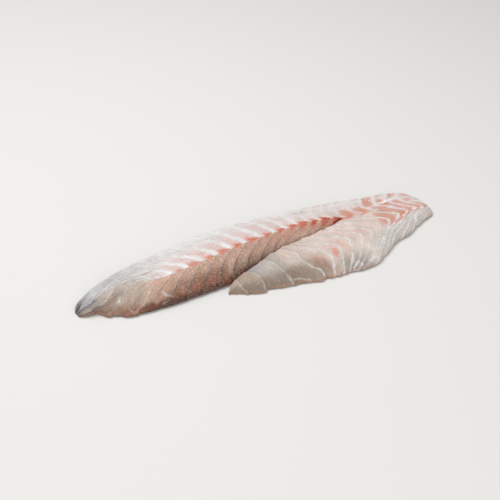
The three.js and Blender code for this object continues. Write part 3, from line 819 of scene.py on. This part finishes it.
corner_places = np.array([i for loop in face_places for i in loop])
for name, values in (("segment", segment), ("segment_rate", rate), ("across", ACROSS),
                     ("line_white", line), ("line_width", width), ("leaf_shade", shade),
                     ("pink", np.clip(pink, 0, 1)), ("blood", blood), ("silver", silver),
                     ("from_back", ACROSS * np.sqrt(span)), ("along", X), ("stripes", stripes),
                     ("cut_face", coarse + (KIND == FLAP_WALL))):
    layer = flesh_mesh.attributes.new(name, "FLOAT", "CORNER")
    layer.data.foreach_set("value", values[corner_places].astype(np.float32))
layer = flesh_mesh.attributes.new("flesh_tint", "FLOAT_COLOR", "CORNER")
rgba = np.concatenate([tint, np.ones((len(X), 1))], 1)
layer.data.foreach_set("color", rgba[corner_places].astype(np.float32).ravel())

# The flesh itself: raw white fish, cut with a knife and wiped, so it is moist rather than
# dripping. Light goes a millimetre or two in, which softens every edge, and a thin film of
# water gives it small broken glints.
flesh = bpy.data.materials.new("raw snapper flesh, knife cut and moist")
flesh.use_nodes = True
tree = flesh.node_tree
tree.nodes.clear()


def add(kind, links=None, **settings):
    """Adds a node with its settings, and with the values or sockets that feed it."""
    made = tree.nodes.new(kind)
    for name, value in settings.items():
        setattr(made, name, value)
    for socket, value in (links or {}).items():
        if isinstance(value, bpy.types.NodeSocket):
            tree.links.new(value, made.inputs[socket])
        else:
            made.inputs[socket].default_value = value
    return made


def calc(operation, *values, clamp=False):
    """One step of arithmetic on up to three values."""
    links = dict(enumerate(values))
    return add("ShaderNodeMath", links, operation=operation, use_clamp=clamp).outputs[0]


def spread(value, low, high, at_low=0.0, at_high=1.0, kind="LINEAR"):
    """Moves a value from the range low to high to the range at_low to at_high."""
    links = {"Value": value, "From Min": low, "From Max": high, "To Min": at_low,
             "To Max": at_high}
    return add("ShaderNodeMapRange", links, interpolation_type=kind).outputs[0]


def noise(at, scale, detail, **more):
    """Soft noise with scale waves to the metre, so 1000 means about a millimetre each."""
    links = {"Vector": at, "Scale": scale, "Detail": detail, **more}
    return add("ShaderNodeTexNoise", links).outputs["Fac"]


def field(name, output="Fac"):
    """Reads what is painted on the mesh under a name."""
    return add("ShaderNodeAttribute", attribute_name=name).outputs[output]


def hex4(text):
    """Linear colour with full alpha, for a socket."""
    return (*colour(text), 1.0)


def cover(below, text, amount):
    """Paints an sRGB hex colour over another by an amount."""
    links = {0: amount, 6: below, 7: hex4(text)}
    return add("ShaderNodeMix", links, data_type="RGBA").outputs[2]


place = add("ShaderNodeTexCoord").outputs["Object"]
segment_at = field("segment")
rate_at = field("segment_rate")
across_at = field("across")
line_at = field("line_white")
width_at = field("line_width")
shade_at = field("leaf_shade")
pink_at = field("pink")
blood_at = field("blood")
silver_at = field("silver")
back_at = field("from_back")
along_at = field("along")
cut_at = field("cut_face")
stripes_at = field("stripes")

# Lines wander by about a millimetre over 7 mm, and are ragged by half a millimetre.
wander = calc("MULTIPLY_ADD", noise(place, 140.0, 2.0), 2.2, -1.1)
ragged = calc("MULTIPLY_ADD", noise(place, 650.0, 3.0), 1.0, -0.5)
looser = calc("MULTIPLY_ADD", width_at, 0.3, 0.6)
wander = calc("MULTIPLY", wander, looser)
shift = calc("MULTIPLY_ADD", ragged, width_at, wander)
phase = calc("MULTIPLY_ADD", shift, rate_at, segment_at)
past = calc("FRACT", phase)
to_next = calc("SUBTRACT", 1.0, past)
behind_mm = calc("DIVIDE", past, rate_at)
ahead_mm = calc("DIVIDE", to_next, rate_at)
near_mm = calc("MINIMUM", behind_mm, ahead_mm)

# Fibres run beside the lines, about 1.5 mm apart. Towards the head they run along the
# fillet as fine silvery threads. Both are laid out in segments or root millimetres from
# the back edge instead of metres, so their noise has a scale of 1.
fibre_x = calc("MULTIPLY", segment_at, 12.0)
fibre_y = calc("MULTIPLY", across_at, 3.0)
fibre_place = add("ShaderNodeCombineXYZ", {"X": fibre_x, "Y": fibre_y}).outputs[0]
fibre = noise(fibre_place, 1.0, 5.0, Roughness=0.62, Distortion=0.5)
silver_x = calc("MULTIPLY", back_at, 4.8)
silver_y = calc("MULTIPLY", along_at, 0.022)
silver_place = add("ShaderNodeCombineXYZ", {"X": silver_x, "Y": silver_y}).outputs[0]
silver_thread = noise(silver_place, 1.0, 4.0, Roughness=0.6, Distortion=0.3)
fibre = add("ShaderNodeMix", {0: silver_at, 2: fibre, 3: silver_thread}).outputs[0]
grain = noise(place, 700.0, 5.0, Roughness=0.75)
cloud = noise(place, 95.0, 3.0)

# Cut across, the fibre bundles show as grains of about a millimetre.
bundle = add("ShaderNodeTexVoronoi", {"Vector": place, "Scale": 1000.0}).outputs
bundle_tone = add("ShaderNodeSeparateColor", {0: bundle["Color"]}).outputs[0]
bundle_tone = calc("ADD", bundle_tone, -0.5)

# Pink stains the middle of each segment and breaks up along the fibres.
mid_segment = calc("MULTIPLY", near_mm, rate_at)
mid_segment = spread(mid_segment, 0.07, 0.26, kind="SMOOTHSTEP")
broken = calc("MULTIPLY_ADD", spread(fibre, 0.36, 0.56), 0.6, 0.4)
stain = calc("MULTIPLY", pink_at, mid_segment)
stain = calc("MULTIPLY", stain, broken, clamp=True)
paint = cover(field("flesh_tint", "Color"), "#da917d", stain)

# Painted shade: each leaf is darkest just behind its line, where it dips under the one before.
dip_shade = calc("POWER", to_next, 1.6)
crease_shade = spread(behind_mm, 0.5, 2.4, 1.0, 0.0, "SMOOTHSTEP")
dip_shade = calc("MULTIPLY_ADD", crease_shade, 0.6, dip_shade)
dip_shade = calc("MULTIPLY", dip_shade, shade_at, clamp=True)
paint = cover(paint, "#6f5442", dip_shade)

# White tissue between the segments, frayed along the fibres, and thin white threads of it
# between the fibres.
frayed = calc("ADD", fibre, -0.5)
frayed = calc("MULTIPLY", frayed, width_at)
frayed = calc("MULTIPLY_ADD", frayed, 2.4, near_mm)
breadth = spread(noise(place, 210.0, 2.0), 0.36, 0.64, 0.45, 1.65)
breadth = calc("MULTIPLY", breadth, width_at)
tissue = spread(frayed, 0.1, breadth, 1.0, 0.0, "SMOOTHSTEP")
tissue = calc("MULTIPLY", tissue, spread(cloud, 0.35, 0.6, 0.55, 1.1))
from_middle = calc("ABSOLUTE", calc("SUBTRACT", fibre, 0.5))
thin_thread = spread(from_middle, 0.0, 0.035, 0.4, 0.0)
thin_thread = calc("MULTIPLY", thin_thread, stripes_at)
tissue = calc("MAXIMUM", tissue, thin_thread)
tissue = calc("MULTIPLY", tissue, line_at)
paint = cover(paint, "#f1eeef", tissue)

# Towards the head the top is silvery, with fine grey threads.
grey = calc("MULTIPLY", spread(fibre, 0.4, 0.5, 1.0, 0.0), silver_at)
grey = calc("MULTIPLY", grey, 0.56, clamp=True)
paint = cover(paint, "#86817d", grey)

# Painted glints: the cut face is dotted with small bright specks, about a millimetre
# wide, where wet fibre ends catch the light.
glint_fleck = spread(noise(place, 900.0, 2.0), 0.57, 0.67, 0.0, 0.55)
glint_fleck = calc("MULTIPLY", glint_fleck, cut_at)
paint = cover(paint, "#e9dbd2", glint_fleck)

# Blood: salmon where thin, then brick red, and dark red where it lies thick.
clot = calc("MULTIPLY_ADD", grain, 1.4, -0.75)
clot = calc("MULTIPLY_ADD", fibre, 2.1, clot)
clot = calc("MULTIPLY", clot, blood_at)
for low, high, text in ((0.12, 0.5, "#d68872"), (0.5, 0.85, "#c65f4a"), (0.85, 1.2, "#5c190c")):
    paint = cover(paint, text, spread(clot, low, high, kind="SMOOTHSTEP"))

# Fine mottling: grain and fibres everywhere, cut bundles on the cut face.
strong = calc("MULTIPLY_ADD", cut_at, 0.2, 1.3)
tone = calc("ADD", grain, -0.5)
tone = calc("MULTIPLY_ADD", tone, strong, 1.0)
stripe = calc("MULTIPLY_ADD", fibre, 0.82, -0.41)
tone = calc("MULTIPLY_ADD", stripe, stripes_at, tone)
granular = calc("MULTIPLY", cut_at, 0.25)
tone = calc("MULTIPLY_ADD", bundle_tone, granular, tone)
patchy = calc("MULTIPLY_ADD", cloud, 0.3, -0.15)
tone = calc("ADD", tone, patchy)
paint = add("ShaderNodeVectorMath", {0: paint, "Scale": tone}, operation="SCALE").outputs[0]

# Surface: fibres, grain and bundles a tenth of a millimetre high, under a film of water
# that breaks over them.
height = calc("MULTIPLY", fibre, stripes_at)
height = calc("MULTIPLY_ADD", grain, 0.9, height)
mound = calc("MULTIPLY", bundle["Distance"], cut_at)
height = calc("MULTIPLY_ADD", mound, -0.5, height)
bump = add("ShaderNodeBump", {"Strength": 0.7, "Distance": 0.0011, "Height": height}).outputs[0]
gloss = spread(grain, 0.3, 0.7, 0.26, 0.48)
skin = add("ShaderNodeBsdfPrincipled", {
    "Base Color": paint, "Roughness": gloss, "IOR": 1.4, "Normal": bump,
    "Subsurface Weight": 0.18, "Subsurface Radius": (1.0, 0.5, 0.35), "Subsurface Scale": 0.0014,
    "Coat Weight": 0.25, "Coat Roughness": 0.12, "Coat IOR": 1.33})
add("ShaderNodeOutputMaterial", {"Surface": skin.outputs[0]})

fillet = bpy.data.objects.new("fillet_flesh", flesh_mesh)
bpy.context.scene.collection.objects.link(fillet)
flesh_mesh.materials.append(flesh)
flesh_mesh.polygons.foreach_set("use_smooth", np.ones(len(flesh_mesh.polygons), bool))
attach(fillet, "root")
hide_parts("fillet")

# The studio: a plain pale floor, a big soft light above and behind the back of the fillet,
# and a weak one from the front.
floor_mesh = bpy.data.meshes.new("pale_floor")
floor_mesh.from_pydata([(-6, -6, 0), (6, -6, 0), (6, 6, 0), (-6, 6, 0)], [], [(0, 1, 2, 3)])
floor = bpy.data.objects.new("pale_floor", floor_mesh)
bpy.context.scene.collection.objects.link(floor)
floor.location.z = -0.0003
paper = bpy.data.materials.new("matt white studio paper")
paper.use_nodes = True
paper_skin = paper.node_tree.nodes["Principled BSDF"]
paper_skin.inputs["Base Color"].default_value = hex4("#e4e3e1")
paper_skin.inputs["Roughness"].default_value = 0.8
floor_mesh.materials.append(paper)

for name, place_at, size, power in (("soft box above", (-0.2, 0.45, 1.35), 1.0, 13.5),
                                    ("front fill", (-0.7, -1.5, 0.8), 1.4, 13.0)):
    lamp = bpy.data.lights.new(name, "AREA")
    lamp.size = size
    lamp.energy = power
    stand = bpy.data.objects.new(name, lamp)
    bpy.context.scene.collection.objects.link(stand)
    stand.location = place_at
    stand.rotation_euler = (-Vector(place_at)).to_track_quat("-Z", "Y").to_euler()

world = bpy.data.worlds.new("soft studio")
world.use_nodes = True
world.node_tree.nodes["Background"].inputs["Color"].default_value = (1.0, 0.99, 0.975, 1)
world.node_tree.nodes["Background"].inputs["Strength"].default_value = 0.42
bpy.context.scene.world = world
bpy.context.scene.view_settings.view_transform = "Standard"

# The camera stands in front of the head end and looks down at 31 degrees, with the small
# roll of the photograph.
lens = bpy.data.cameras.new("camera")
lens.lens = 95.2
lens.sensor_width = 36.0
camera = bpy.data.objects.new("camera", lens)
bpy.context.scene.collection.objects.link(camera)
bpy.context.scene.camera = camera
camera.location = (-0.6101, -0.8366, 0.6354)
aim = Vector((-0.0054, 0.0253, 0.0)) - camera.location
camera.rotation_mode = "QUATERNION"
look = aim.to_track_quat("-Z", "Y")
camera.rotation_quaternion = look @ Quaternion((0, 0, 1), math.radians(2.78))
